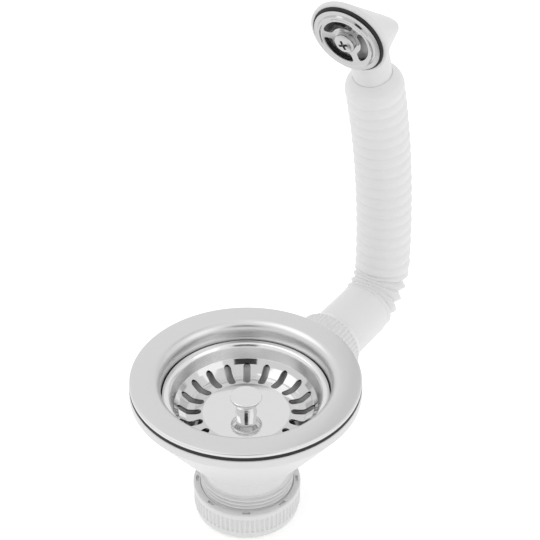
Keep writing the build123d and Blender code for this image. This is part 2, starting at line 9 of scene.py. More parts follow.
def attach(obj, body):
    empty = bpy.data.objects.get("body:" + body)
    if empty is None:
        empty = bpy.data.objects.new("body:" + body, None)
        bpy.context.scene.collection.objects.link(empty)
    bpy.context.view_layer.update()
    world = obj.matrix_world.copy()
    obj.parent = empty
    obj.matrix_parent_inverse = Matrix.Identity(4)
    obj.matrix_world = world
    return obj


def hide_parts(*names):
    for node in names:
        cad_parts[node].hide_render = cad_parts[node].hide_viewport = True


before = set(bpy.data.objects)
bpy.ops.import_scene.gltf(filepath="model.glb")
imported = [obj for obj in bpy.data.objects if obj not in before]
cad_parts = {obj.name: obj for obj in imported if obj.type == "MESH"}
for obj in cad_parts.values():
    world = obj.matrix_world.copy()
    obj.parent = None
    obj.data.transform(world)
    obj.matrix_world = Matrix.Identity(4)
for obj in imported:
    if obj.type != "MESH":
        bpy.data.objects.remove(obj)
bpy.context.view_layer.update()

# Lengths of the pieces are millimetres, as in the part's source, and angles are degrees.
# The floor, the card, the lights and the camera are in metres.
MM = 0.001
RNG = np.random.default_rng(7)

# Axis frames: origin, then the directions of local x, y and z
BRANCH_HEIGHT = -29.4
ELBOW = np.array((0.0, 101.98, 151.80))
FACE_OUT = np.array((0.0, -0.9426, -0.3338))
FACE_UP = np.array((0.0, -0.3338, 0.9426))
EAST, NORTH, UPWARD = np.eye(3)
WASTE_AXIS = (np.zeros(3), EAST, NORTH, UPWARD)
BRANCH_AXIS = (BRANCH_HEIGHT * UPWARD, EAST, -UPWARD, NORTH)
FACE_AXIS = (ELBOW, EAST, FACE_UP, FACE_OUT)


def place(points, axis):
    """Local points carried into the part's frame."""
    origin, ex, ey, ez = axis
    points = np.asarray(points, float)
    return origin + points[:, :1] * ex + points[:, 1:2] * ey + points[:, 2:3] * ez


def soften(corners, steps=6, closed=True):
    """A profile with its corners rounded. Each corner is (radius, height, rounding)."""
    # A rounding takes at most this share of an edge, so that neighbours never meet
    edge_share = 0.49
    out = []
    count = len(corners)
    for i, (r, z, rounding) in enumerate(corners):
        here = np.array((r, z), float)
        if rounding <= 0 or (not closed and i in (0, count - 1)):
            out.append(here)
            continue
        before = np.array(corners[i - 1][:2], float) - here
        after = np.array(corners[(i + 1) % count][:2], float) - here
        len_a, len_b = np.linalg.norm(before), np.linalg.norm(after)
        before, after = before / len_a, after / len_b
        half = math.acos(float(np.clip(before @ after, -1, 1))) / 2
        reach = min(rounding / math.tan(half), edge_share * len_a, edge_share * len_b)
        radius = reach * math.tan(half)
        centre = here + (before + after) / np.linalg.norm(before + after) * radius / math.sin(half)
        first, last = here + before * reach - centre, here + after * reach - centre
        sweep = math.pi - 2 * half
        side = 1 if first[0] * last[1] - first[1] * last[0] > 0 else -1
        for k in range(steps + 1):
            turn = side * sweep * k / steps
            c, s = math.cos(turn), math.sin(turn)
            out.append(centre + np.array((c * first[0] - s * first[1], s * first[0] + c * first[1])))
    return np.array(out)


def strip_faces(rows, turns, closed=False):
    """Quads between rows of points that go round. Closed joins the last row to the first."""
    faces = []
    for i in range(rows if closed else rows - 1):
        a, b = i * turns, (i + 1) % rows * turns
        faces.extend((a + j, a + (j + 1) % turns, b + (j + 1) % turns, b + j) for j in range(turns))
    return faces


def lathe(profile, turns, axis=WASTE_AXIS, wave=None):
    """A closed profile turned round the axis. wave(profile, angles) may change the radii."""
    profile = np.asarray(profile, float)
    angles = np.arange(turns) * 2 * math.pi / turns
    radius = np.repeat(profile[:, :1], turns, axis=1)
    if wave is not None:
        radius = radius + wave(profile, angles)
    height = np.repeat(profile[:, 1:], turns, axis=1)
    grid = np.stack((radius * np.cos(angles), radius * np.sin(angles), height), axis=2)
    return place(grid.reshape(-1, 3), axis), strip_faces(len(profile), turns, closed=True)


def prism(outline, low, high, axis=WASTE_AXIS):
    """A closed prism on a plane outline, from one height to another."""
    outline = np.asarray(outline, float)
    count = len(outline)
    points = np.vstack([np.column_stack((outline, np.full(count, z))) for z in (low, high)])
    faces = strip_faces(2, count) + [tuple(range(count))[::-1], tuple(range(count, 2 * count))]
    return place(points, axis), faces


def turned(outline, degrees):
    """A plane outline turned about the origin."""
    c, s = math.cos(math.radians(degrees)), math.sin(math.radians(degrees))
    return np.asarray(outline, float) @ np.array(((c, s), (-s, c)))


def rounded_box(width, height, rounding, centre=(0, 0)):
    """A rectangle's outline with rounded corners."""
    w, h = width / 2, height / 2
    box = soften([(w, h, rounding), (-w, h, rounding), (-w, -h, rounding), (w, -h, rounding)], 4)
    return box + np.array(centre)


def half_circle(centre, radius, first):
    """Half a circle about a point on the x axis, from the first angle on: one end of a slot."""
    turns = [math.radians(first + 10 * k) for k in range(19)]
    return [(centre + radius * math.cos(turn), radius * math.sin(turn)) for turn in turns]


def joined(*shapes):
    """Several (points, faces) shapes as one."""
    points, faces, start = [], [], 0
    for shape_points, shape_faces in shapes:
        points.append(shape_points)
        faces.extend(tuple(i + start for i in face) for face in shape_faces)
        start += len(shape_points)
    return np.vstack(points), faces


def to_mesh(name, shape):
    """A clean mesh in metres from a (points, faces) shape."""
    mesh = bpy.data.meshes.new(name)
    mesh.from_pydata((np.asarray(shape[0]) * MM).tolist(), [], shape[1])
    work = bmesh.new()
    work.from_mesh(mesh)
    bmesh.ops.remove_doubles(work, verts=work.verts, dist=1e-7)
    bmesh.ops.recalc_face_normals(work, faces=work.faces)
    work.to_mesh(mesh)
    work.free()
    return mesh


def to_shape(mesh):
    """The (points, faces) shape of a mesh, in millimetres again."""
    points = np.empty(len(mesh.vertices) * 3)
    mesh.vertices.foreach_get("co", points)
    return points.reshape(-1, 3) / MM, [tuple(face.vertices) for face in mesh.polygons]


def combine(mesh, shape, operation="DIFFERENCE"):
    """The mesh after a Boolean with a shape."""
    tool = bpy.data.objects.new("tool", to_mesh("tool", shape))
    blank = bpy.data.objects.new("blank", mesh)
    for obj in (tool, blank):
        bpy.context.collection.objects.link(obj)
    step = blank.modifiers.new("step", "BOOLEAN")
    step.operation = operation
    step.solver = "EXACT"
    step.object = tool
    graph = bpy.context.evaluated_depsgraph_get()
    result = bpy.data.meshes.new_from_object(blank.evaluated_get(graph))
    for obj in (blank, tool):
        bpy.data.objects.remove(obj)
    return result


def piece(name, mesh, material, slot, body, *nodes, sharp=38):
    """Seats a finished mesh on its body, in place of the nodes that it stands for."""
    if not isinstance(mesh, bpy.types.Mesh):
        mesh = to_mesh(name, mesh)
    mesh.name = name
    mesh.shade_smooth()
    mesh.set_sharp_from_angle(angle=math.radians(sharp))
    mesh.materials.clear()
    mesh.materials.append(material)
    obj = bpy.data.objects.new(name, mesh)
    bpy.context.collection.objects.link(obj)
    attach(obj, body)
    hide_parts(*nodes)
    return obj


def second_finish(obj, material, test):
    """Gives the faces that pass a test of radius, height and upward lean another finish."""
    index = len(obj.data.materials)
    obj.data.materials.append(material)
    for face in obj.data.polygons:
        x, y, z = face.center / MM
        if test(math.hypot(x, y), z, face.normal.z):
            face.material_index = index


def shader(name, base, roughness, metallic, grain, spread, tint, bump=0.0, turned_finish=0.0):
    """A procedural finish: fine noise drives the roughness, a little tone and a faint bump."""
    mat = bpy.data.materials.new(name)
    mat.use_nodes = True
    nodes, links = mat.node_tree.nodes, mat.node_tree.links
    main = nodes["Principled BSDF"]
    main.inputs["Metallic"].default_value = metallic
    coordinates = nodes.new("ShaderNodeTexCoord")
    noise = nodes.new("ShaderNodeTexNoise")
    noise.inputs["Scale"].default_value = grain
    noise.inputs["Detail"].default_value = 4.0
    links.new(coordinates.outputs["Object"], noise.inputs["Vector"])
    tone = nodes.new("ShaderNodeMix")
    tone.data_type = "RGBA"
    low, high = base * (1 - tint), min(base * (1 + tint), 1.0)
    tone.inputs["A"].default_value = (low, low, low, 1)
    tone.inputs["B"].default_value = (high, high, high, 1)
    links.new(noise.outputs["Fac"], tone.inputs["Factor"])
    links.new(tone.outputs["Result"], main.inputs["Base Color"])
    rough = nodes.new("ShaderNodeMapRange")
    rough.inputs["To Min"].default_value = max(roughness - spread, 0.0)
    rough.inputs["To Max"].default_value = roughness + spread
    links.new(noise.outputs["Fac"], rough.inputs["Value"])
    links.new(rough.outputs["Result"], main.inputs["Roughness"])
    if bump:
        ridge = nodes.new("ShaderNodeBump")
        ridge.inputs["Strength"].default_value = bump
        ridge.inputs["Distance"].default_value = 0.0001
        links.new(noise.outputs["Fac"], ridge.inputs["Height"])
        links.new(ridge.outputs["Normal"], main.inputs["Normal"])
    if turned_finish:
        main.inputs["Anisotropic"].default_value = turned_finish
        tangent = nodes.new("ShaderNodeTangent")
        tangent.direction_type = "RADIAL"
        tangent.axis = "Z"
        links.new(tangent.outputs["Tangent"], main.inputs["Tangent"])
    return mat


# Finishes: base tone, roughness, metallic, grain, spread of the roughness, tint, bump
METAL, PLAIN = 1.0, 0.0
satin_steel = shader("satin_steel", 0.71, 0.30, METAL, 900, 0.04, 0.02, 0.03, turned_finish=0.35)
bright_steel = shader("bright_steel", 0.78, 0.07, METAL, 300, 0.02, 0.01)
rosette_steel = shader("rosette_steel", 0.53, 0.10, METAL, 500, 0.03, 0.02)
bowl_steel = shader("bowl_steel", 0.66, 0.09, METAL, 300, 0.02, 0.01)
satin_wall = shader("satin_wall", 0.92, 0.24, METAL, 700, 0.02, 0.01)
turned_steel = shader("turned_steel", 0.78, 0.09, METAL, 700, 0.02, 0.02)
white_body = shader("white_body", 0.70, 0.38, PLAIN, 800, 0.05, 0.012, 0.05)
white_nut = shader("white_nut", 0.72, 0.36, PLAIN, 800, 0.05, 0.012, 0.04)
white_hose = shader("white_hose", 0.74, 0.45, PLAIN, 500, 0.06, 0.015, 0.06)
black_rubber = shader("black_rubber", 0.007, 0.55, PLAIN, 1500, 0.08, 0.15, 0.10)
rim_steel = shader("rim_steel", 0.82, 0.17, METAL, 500, 0.02, 0.01)
# Rough underside steel, its darker tone painted shade for the shadowed inside that the slots show
dull_painted_shade_steel = shader("dull_painted_shade_steel", 0.48, 0.40, METAL, 500, 0.05, 0.05)
# Painted light: near-white steel for the cup's lower wall, so that it reads lit through the basket's slots
painted_light_steel = shader("painted_light_steel", 0.95, 0.50, METAL, 500, 0.03, 0.01)
# Painted shadow: near-black steel for the cup's wall beside the basket's rim, in place of the gap's shade
painted_gap_shadow = shader("painted_gap_shadow", 0.02, 0.6, METAL, 500, 0.05, 0.05)
brass = shader("brass", 0.55, 0.28, METAL, 900, 0.05, 0.04)

# Strainer cup: brim rolled into a straight wall, then a coned foot with drain holes
BRIM_RADIUS = 57.0
BRIM_TOP = 2.0
CUP_RADIUS = 42.0
CUP_SHEET = 1.0
CUP_WALL_FOOT = -14.0
CUP_FLOOR = -34.0
CUP_FLOOR_RADIUS = 27.0
CENTRE_HOLE = 3.1
DRAIN_COUNT = 6
DRAIN_RADIUS = 5.0
DRAIN_CIRCLE = 14.0
GAP_TOP = -8.3
GAP_FOOT = -16.0

cup_profile = soften([
    (BRIM_RADIUS, 0.0, 0.3),
    (BRIM_RADIUS, BRIM_TOP, 0.9),
    (CUP_RADIUS, BRIM_TOP, 5.0),
    (CUP_RADIUS, GAP_TOP, 0),
    (CUP_RADIUS, CUP_WALL_FOOT, 2.5),
    (CUP_FLOOR_RADIUS, CUP_FLOOR, 2.0),
    (CENTRE_HOLE, CUP_FLOOR, 0.2),
    (CENTRE_HOLE, CUP_FLOOR - CUP_SHEET, 0.2),
    (CUP_FLOOR_RADIUS + CUP_SHEET / 2, CUP_FLOOR - CUP_SHEET, 3.0),
    (CUP_RADIUS + CUP_SHEET, CUP_WALL_FOOT - CUP_SHEET / 2, 4.0),
    (CUP_RADIUS + CUP_SHEET, BRIM_TOP - CUP_SHEET, 4.0),
    (BRIM_RADIUS - CUP_SHEET, BRIM_TOP - CUP_SHEET, 0.2),
    (BRIM_RADIUS - CUP_SHEET, 0.0, 0.2),
], steps=8)
cup_mesh = to_mesh("cup", lathe(cup_profile, 256))
drain_angles = np.arange(32) * math.pi / 16
drain = DRAIN_RADIUS * np.column_stack((np.cos(drain_angles), np.sin(drain_angles)))
drains = [
    prism(turned(drain + (DRAIN_CIRCLE, 0), 360 / DRAIN_COUNT * k), CUP_FLOOR - 4, CUP_FLOOR + 3)
    for k in range(DRAIN_COUNT)
]
cup_mesh = combine(cup_mesh, joined(*drains))
cup = piece("cup", cup_mesh, satin_steel, "satin_steel", "waste", "strainer_cup")
# Low down, where the slots show it, the cup's wall is brightened, painted light so that it reads lit.
# Beside the basket's rim its wall is painted dark all round, a painted shadow so that the narrow gap
# reads as a dark line. With the basket lifted, that band shows.
second_finish(cup, painted_light_steel, lambda r, z, lean: z < GAP_FOOT)
second_finish(cup, painted_gap_shadow, lambda r, z, lean: GAP_FOOT < z < GAP_TOP)

# The two sealing rings under the brim, one on the other
MOUTH_RADIUS = 50.5
SEAL_RADIUS = 57.05
SEAL_HEIGHT = 0.95

for name, layer, node in (("brim_seal", 1, "flange_gasket"), ("rim_seal", 2, "body_gasket")):
    foot = -layer * SEAL_HEIGHT
    band = soften([
        (MOUTH_RADIUS, foot, 0.1),
        (SEAL_RADIUS, foot, 0.2),
        (SEAL_RADIUS, foot + SEAL_HEIGHT, 0.2),
        (MOUTH_RADIUS, foot + SEAL_HEIGHT, 0.1),
    ], steps=4)
    piece(name, lathe(band, 192), black_rubber, "black_rubber", "waste", node)

# Waste body: outer shell and branch, hollowed, then the boss on its spokes and the tail's thread
BODY_TOP = -1.95
MOUTH_CUT = -1.0
MOUTH_FOOT = -10.6
BODY_RIM_RADIUS = 57.3
BODY_RIM_FOOT = -6.4
CONE_FOOT = -41.5
CONE_FOOT_RADIUS = 31.5
CONE_FOOT_BORE = 27.8
NECK_TOP = -48.5
NECK_RADIUS = 22.4
TAIL_FOOT = -76.0
TAIL_BORE = 19.4
BRANCH_RADIUS = 16.6
BRANCH_BORE = 13.6
BRANCH_FROM = 20.0
BRANCH_BORE_FROM = 26.0
BRANCH_END = 77.0
BOSS_RADIUS = 6.4
BOSS_TOP = -35.5
BOSS_FOOT = -48.1
SPOKE_COUNT = 4
SPOKE_LENGTH = 24.0
SPOKE_WIDTH = 2.4
SPOKE_MIDDLE = 16.9
SPOKE_TOP = -37.0
SPOKE_FOOT = -43.0
THREAD_PITCH = 2.31
THREAD_HEIGHT = 1.45
THREAD_CORE = 22.45
THREAD_ROOT = 21.0
THREAD_TOP = -56.6
THREAD_FOOT = -75.9
CUT_PAST = 1.0

shell = soften([
    (0, BODY_TOP, 0),
    (BODY_RIM_RADIUS - 0.1, BODY_TOP, 0.8),
    (BODY_RIM_RADIUS, BODY_RIM_FOOT, 1.2),
    (CONE_FOOT_RADIUS, CONE_FOOT, 3.0),
    (NECK_RADIUS, NECK_TOP, 3.0),
    (NECK_RADIUS, TAIL_FOOT, 0.4),
    (0, TAIL_FOOT, 0),
], steps=6)
branch = soften([
    (0, BRANCH_FROM, 0),
    (BRANCH_RADIUS, BRANCH_FROM, 0),
    (BRANCH_RADIUS, BRANCH_END, 0.5),
    (0, BRANCH_END, 0),
], steps=4)
hollow = soften([
    (0, MOUTH_CUT, 0),
    (MOUTH_RADIUS, MOUTH_CUT, 0),
    (MOUTH_RADIUS, MOUTH_FOOT, 2.0),
    (CONE_FOOT_BORE, CONE_FOOT, 3.0),
    (TAIL_BORE, NECK_TOP, 2.0),
    (TAIL_BORE, TAIL_FOOT - CUT_PAST, 0),
    (0, TAIL_FOOT - CUT_PAST, 0),
], steps=6)
branch_bore = soften([
    (0, BRANCH_BORE_FROM, 0),
    (BRANCH_BORE, BRANCH_BORE_FROM, 0),
    (BRANCH_BORE, BRANCH_END + CUT_PAST, 0),
    (0, BRANCH_END + CUT_PAST, 0),
])
body_mesh = combine(to_mesh("body", lathe(shell, 160)), lathe(branch, 96, BRANCH_AXIS), "UNION")
body_mesh = combine(body_mesh, lathe(hollow, 160))
body_mesh = combine(body_mesh, lathe(branch_bore, 96, BRANCH_AXIS))
body_boss = soften([
    (CENTRE_HOLE, BOSS_TOP, 0.2),
    (BOSS_RADIUS, BOSS_TOP, 0.4),
    (BOSS_RADIUS, BOSS_FOOT, 0.4),
    (CENTRE_HOLE, BOSS_FOOT, 0.2),
], steps=3)
spoke = rounded_box(SPOKE_LENGTH, SPOKE_WIDTH, 0.3, (SPOKE_MIDDLE, 0))
spokes = [
    prism(turned(spoke, 45 + 360 / SPOKE_COUNT * k), SPOKE_FOOT, SPOKE_TOP) for k in range(SPOKE_COUNT)
]


def thread_wave(profile, angles):
    """A single-start thread on the rows at the core's radius, faded out at both ends."""
    z = profile[:, 1:]
    phase = (z + THREAD_PITCH * angles[None, :] / (2 * math.pi)) / THREAD_PITCH
    ridge = np.clip(0.5 + 0.75 * np.cos(2 * math.pi * phase), 0, 1)
    fade = np.clip((THREAD_TOP - 0.6 - z) / 1.2, 0, 1) * np.clip((z - THREAD_FOOT - 0.1) / 1.0, 0, 1)
    return np.where(profile[:, :1] > THREAD_CORE - 0.45, THREAD_HEIGHT * ridge * fade, 0.0)


thread_rows = [(THREAD_ROOT, THREAD_TOP)]
thread_rows += [(THREAD_CORE, z) for z in np.linspace(THREAD_TOP, THREAD_FOOT, 130)]
thread_rows += [(THREAD_ROOT, THREAD_FOOT)]
thread = lathe(thread_rows, 144, wave=thread_wave)
body = joined(to_shape(body_mesh), lathe(body_boss, 48), *spokes, thread)
piece("body", body, white_body, "white_body", "waste", "waste_body", sharp=42)


def ribs(count, core, cut, low, high):
    """Radius change that leaves a ring of fine ribs between two heights, past a core radius."""
    def wave(profile, angles):
        r, z = profile[:, :1], profile[:, 1:]
        inside = (z > low) & (z < high) & (r > core)
        valley = np.clip(0.5 - 0.8 * np.cos(count * angles), 0, 1)
        ends = np.clip((z - low) / 0.5, 0, 1) * np.clip((high - z) / 0.5, 0, 1)
        return np.where(inside, -cut * valley[None, :] * ends, 0.0)
    return wave


def with_rows(profile, radius):
    """Adds rows to the long straight side at a radius, so that its ribs have ends to fade on."""
    end_share, tolerance, long_side = 0.08, 0.05, 5.0
    first_end = np.linspace(0, end_share, 4)
    middle = np.linspace(end_share, 1 - end_share, 8)[1:-1]
    last_end = np.linspace(1 - end_share, 1, 4)
    steps = np.concatenate((first_end, middle, last_end))[1:-1]
    out = []
    for a, b in zip(profile, np.roll(profile, -1, axis=0)):
        out.append(a)
        at_radius = abs(a[0] - radius) < tolerance and abs(b[0] - radius) < tolerance
        if at_radius and abs(a[1] - b[1]) > long_side:
            out.extend(a + (b - a) * t for t in steps)
    return np.array(out)


# Outlet nut: plain rim, fine ribs, bevelled foot and a collar, with small windows in the rim's top
NUT_TOP = -66.0
NUT_FOOT = -83.4
NUT_SHELF = -81.0
NUT_RADIUS = 27.7
NUT_BORE = 24.0
NUT_OUTLET = 20.5
NUT_FOOT_RADIUS = 26.9
NUT_BEVEL = 1.6
NUT_RIBS_TOP = -69.0
NUT_RIBS_FOOT = -78.0
NUT_RIBS_RADIUS = 27.55
NUT_RIBS_CORE = 27.2
NUT_RIB_COUNT = 68
NUT_RIB_CUT = 0.7
WINDOW_COUNT = 8
WINDOW_START = 33.5
WINDOW_MIDDLE = 25.55

nut_profile = soften([
    (NUT_BORE, NUT_TOP, 0.3),
    (NUT_RADIUS, NUT_TOP, 0.8),
    (NUT_RADIUS, NUT_RIBS_TOP, 0.15),
    (NUT_RIBS_RADIUS, NUT_RIBS_TOP, 0.0),
    (NUT_RIBS_RADIUS, NUT_RIBS_FOOT, 0.0),
    (NUT_FOOT_RADIUS, NUT_RIBS_FOOT - 0.2, 0.2),
    (NUT_FOOT_RADIUS, NUT_FOOT + NUT_BEVEL, 1.0),
    (NUT_FOOT_RADIUS - NUT_BEVEL, NUT_FOOT, 0.6),
    (NUT_OUTLET, NUT_FOOT, 0.4),
    (NUT_OUTLET, NUT_SHELF, 0.3),
    (NUT_BORE, NUT_SHELF, 0.3),
], steps=5)
nut_wave = ribs(NUT_RIB_COUNT, NUT_RIBS_CORE, NUT_RIB_CUT, NUT_RIBS_FOOT, NUT_RIBS_TOP)
nut_shape = lathe(with_rows(nut_profile, NUT_RIBS_RADIUS), 720, wave=nut_wave)
window = rounded_box(1.5, 4.1, 0.3, (WINDOW_MIDDLE, 0))
windows = [
    prism(turned(window, WINDOW_START + 360 / WINDOW_COUNT * k), NUT_TOP - 1.2, NUT_TOP + 0.5)
    for k in range(WINDOW_COUNT)
]
nut_mesh = combine(to_mesh("nut", nut_shape), joined(*windows))
piece("nut", nut_mesh, white_nut, "white_nut", "waste", "outlet_nut", sharp=34)

# Hose nut: the same kind of ribs on the overflow branch, and a tapered end
GRIP_FROM = 65.0
GRIP_END = 84.0
GRIP_SHELF = 81.5
GRIP_BORE = 16.9
GRIP_OUTLET = 15.55
GRIP_RIM_RADIUS = 18.3
GRIP_END_RADIUS = 16.7
GRIP_RIBS_FROM = 67.3
GRIP_RIBS_TO = 79.0
GRIP_RIBS_RADIUS = 18.85
GRIP_RIBS_CORE = 18.6
GRIP_RIB_COUNT = 48
GRIP_RIB_CUT = 0.55

grip_profile = soften([
    (GRIP_BORE, GRIP_FROM, 0.2),
    (GRIP_RIM_RADIUS, GRIP_FROM, 0.4),
    (GRIP_RIM_RADIUS, GRIP_RIBS_FROM - 0.3, 0.1),
    (GRIP_RIBS_RADIUS, GRIP_RIBS_FROM, 0.1),
    (GRIP_RIBS_RADIUS, GRIP_RIBS_TO, 0.1),
    (GRIP_RIM_RADIUS, GRIP_RIBS_TO + 0.5, 0.3),
    (GRIP_END_RADIUS, GRIP_END, 0.5),
    (GRIP_OUTLET, GRIP_END, 0.3),
    (GRIP_OUTLET, GRIP_SHELF, 0.2),
    (GRIP_BORE, GRIP_SHELF, 0.2),
], steps=5)
grip_wave = ribs(GRIP_RIB_COUNT, GRIP_RIBS_CORE, GRIP_RIB_CUT, GRIP_RIBS_FROM, GRIP_RIBS_TO)
grip_shape = lathe(with_rows(grip_profile, GRIP_RIBS_RADIUS), 480, BRANCH_AXIS, wave=grip_wave)
piece("hose_grip", grip_shape, white_nut, "white_nut", "waste", "hose_nut", sharp=34)

# Strainer basket: rolled rim, short wall, slotted bowl and a raised flat floor, all from one sheet
BASKET_TOP = -8.4
BASKET_LIP = -9.6
BASKET_WALL_FOOT = -15.6
BASKET_BOWL = -18.3
BASKET_TROUGH = -22.0
BASKET_FLOOR = -21.5
BASKET_SHEET = 0.8
BASKET_RADIUS = 40.9
BASKET_RIM_INNER = 38.8
BASKET_WALL_RADIUS = 38.0
BASKET_WALL_FOOT_RADIUS = 36.4
BASKET_BOWL_RADIUS = 34.2
TROUGH_OUTER = 29.5
TROUGH_INNER = 26.0
BASKET_FLOOR_RADIUS = 21.8
KNOB_HOLE = 2.2
SLOT_COUNT = 20
SLOT_START = 15.5
SLOT_HALF_WIDTH = 1.85
SLOT_OUTER_CENTRE = 32.35
SLOT_INNER_CENTRE = 24.25
FINISH_EDGE = 0.2

basket_top = soften([
    (BASKET_RADIUS, BASKET_LIP, 0),
    (BASKET_RADIUS, BASKET_TOP, 1.0),
    (BASKET_RIM_INNER, BASKET_TOP, 0.7),
    (BASKET_WALL_RADIUS, BASKET_LIP, 0.8),
    (BASKET_WALL_FOOT_RADIUS, BASKET_WALL_FOOT, 1.5),
    (BASKET_BOWL_RADIUS, BASKET_BOWL, 4.0),
    (TROUGH_OUTER, BASKET_TROUGH, 4.0),
    (TROUGH_INNER, BASKET_TROUGH, 3.0),
    (BASKET_FLOOR_RADIUS, BASKET_FLOOR, 1.0),
    (KNOB_HOLE, BASKET_FLOOR, 0),
], steps=6, closed=False)
direction = np.gradient(basket_top, axis=0)
direction /= np.linalg.norm(direction, axis=1)[:, None]
basket_under = basket_top + BASKET_SHEET * np.column_stack((direction[:, 1], -direction[:, 0]))
basket_shape = lathe(np.vstack((basket_top, basket_under[::-1])), 320)
slot_outline = half_circle(SLOT_OUTER_CENTRE, SLOT_HALF_WIDTH, -90)
slot_outline += half_circle(SLOT_INNER_CENTRE, SLOT_HALF_WIDTH, 90)
slots = [
    prism(turned(slot_outline, SLOT_START + 360 / SLOT_COUNT * k), BASKET_FLOOR - 5.5, BASKET_FLOOR + 9.5)
    for k in range(SLOT_COUNT)
]
strainer_mesh = combine(to_mesh("strainer", basket_shape), joined(*slots))
strainer = piece("strainer", strainer_mesh, bowl_steel, "bright_steel", "basket", "basket", sharp=34)
# The upper side is satin on the wall, half bright on the rim and bright on the floor; the underside is dull
# and also darker, a painted shade
wall_top = BASKET_LIP + FINISH_EDGE
wall_foot = BASKET_WALL_FOOT + FINISH_EDGE
floor_edge = BASKET_FLOOR_RADIUS - FINISH_EDGE
second_finish(strainer, satin_wall, lambda r, z, lean: wall_foot < z < wall_top and lean > 0)
second_finish(strainer, rim_steel, lambda r, z, lean: z > wall_top and lean > 0)
second_finish(strainer, bright_steel, lambda r, z, lean: r < floor_edge and lean > 0.5)
second_finish(strainer, dull_painted_shade_steel, lambda r, z, lean: lean < -0.02)

# Turned knob with a knurled edge under its shallow cone
KNOB_RADIUS = 8.0
KNOB_TOP = -9.9
KNOB_EDGE_TOP = -11.15
KNOB_EDGE_FOOT = -12.1
KNOB_CAP_FOOT = -12.7
KNOB_CAP_RADIUS = 6.9
KNOB_NECK_TOP = -15.5
KNOB_NECK_RADIUS = 4.9
KNOB_FOOT_RADIUS = 5.5
KNURL_TEETH = 64
KNURL_DEPTH = 0.22
KNURL_TOP = -11.0
KNURL_FOOT = -12.35


def knurl(profile, angles):
    """Fine teeth round the lower edge of the knob's cap."""
    r, z = profile[:, :1], profile[:, 1:]
    band = (r > KNOB_RADIUS - 0.3) & (z < KNURL_TOP) & (z > KNURL_FOOT)
    teeth = np.clip(0.5 + np.cos(KNURL_TEETH * angles), 0, 1)[None, :]
    return np.where(band, -KNURL_DEPTH * teeth, 0.0)


knob_profile = soften([
    (0, BASKET_FLOOR, 0),
    (KNOB_FOOT_RADIUS, BASKET_FLOOR, 0.3),
    (KNOB_NECK_RADIUS, KNOB_NECK_TOP, 3.0),
    (KNOB_CAP_RADIUS, KNOB_CAP_FOOT, 0.6),
    (KNOB_RADIUS - 0.2, KNOB_EDGE_FOOT - 0.2, 0.2),
    (KNOB_RADIUS, KNOB_EDGE_FOOT, 0.1),
    (KNOB_RADIUS, KNOB_EDGE_TOP, 0.1),
    (KNOB_RADIUS - 0.05, KNOB_EDGE_TOP + 0.2, 0.05),
    (KNOB_RADIUS - 0.3, KNOB_EDGE_TOP + 0.4, 0.3),
    (0, KNOB_TOP, 0),
], steps=6)
knob_shape = lathe(knob_profile, 512, wave=knurl)
piece("lift_knob", knob_shape, turned_steel, "bright_steel", "basket", "knob", sharp=50)

# Corrugated hose: straight cuff, tight bend with pleats, long sweep of soft rings, domed top
HOSE_TURNS = 128
HOSE_FROM = 78.5
CUFF = 36.1
BEND = 32.987
BEND_RADIUS = 21.0
SWEEP_RADIUS = 380.0
LENGTH = 198.39
SKIN_FROM = 3.2
PLEATS_FROM = 38.7
PLEAT_PITCH = 5.7
PLEAT_COUNT = 5
PLEAT_SHIFT = 1.78
RINGS_FROM = 67.2
RINGS_TO = 193.0
RING_COUNT = 18
CREST = 15.25
ROOT = 14.55
RING_ROOT = 14.35
DOME_END = 10.12
SWELL = 0.06
PLEAT_POWER = 1.15
RING_POWER = 1.9
DOME_POWER = 1.5
FLANGE_RADIUS = 16.4
FLANGE_NECK = 15.2
FLANGE_TOP = 81.5
FLANGE_NECK_TOP = 82.5


def route(s):
    """Centre and direction of the hose at a distance along it, in the YZ plane."""
    if s <= CUFF:
        return np.array((HOSE_FROM + s, BRANCH_HEIGHT)), np.array((1.0, 0.0))
    bend_y = HOSE_FROM + CUFF
    if s <= CUFF + BEND:
        a = (s - CUFF) / BEND_RADIUS
        y = bend_y + BEND_RADIUS * math.sin(a)
        z = BRANCH_HEIGHT + BEND_RADIUS * (1 - math.cos(a))
        return np.array((y, z)), np.array((math.cos(a), math.sin(a)))
    a = (s - CUFF - BEND) / SWEEP_RADIUS
    y = bend_y + BEND_RADIUS - SWEEP_RADIUS * (1 - math.cos(a))
    z = BRANCH_HEIGHT + BEND_RADIUS + SWEEP_RADIUS * math.sin(a)
    return np.array((y, z)), np.array((-math.sin(a), math.cos(a)))


def all_round(radius):
    """One radius all the way round the hose."""
    return np.full(HOSE_TURNS, radius)


hose_angles = np.arange(HOSE_TURNS) * 2 * math.pi / HOSE_TURNS
outward = np.cos(hose_angles)
# The pleats' roots lie on a circle shifted to the inner side of the bend, so they open outward
shifted_root = np.sqrt((ROOT - PLEAT_SHIFT) ** 2 - (PLEAT_SHIFT * np.sin(hose_angles)) ** 2)
pleat_root = shifted_root - PLEAT_SHIFT * outward
cuff_end = PLEATS_FROM - PLEAT_PITCH / 2
stations = [(s, all_round(CREST)) for s in np.linspace(SKIN_FROM, cuff_end, 14)]
for t in (0.3, 0.6, 0.85):
    stations.append((PLEATS_FROM - PLEAT_PITCH / 2 * (1 - t), all_round(CREST - (CREST - ROOT) * t ** 2)))
ring_steps = np.linspace(0, 1, 11)[:-1]
for ring_index in range(PLEAT_COUNT):
    before = pleat_root if ring_index > 0 else all_round(ROOT)
    after = pleat_root if ring_index < PLEAT_COUNT - 1 else all_round(ROOT)
    for t in ring_steps:
        root = before if t < 0.5 else after
        rise = 1 - abs(2 * t - 1) ** PLEAT_POWER
        stations.append((PLEATS_FROM + PLEAT_PITCH * (ring_index + t), root + (CREST - root) * rise))
ring_pitch = (RINGS_TO - RINGS_FROM) / RING_COUNT
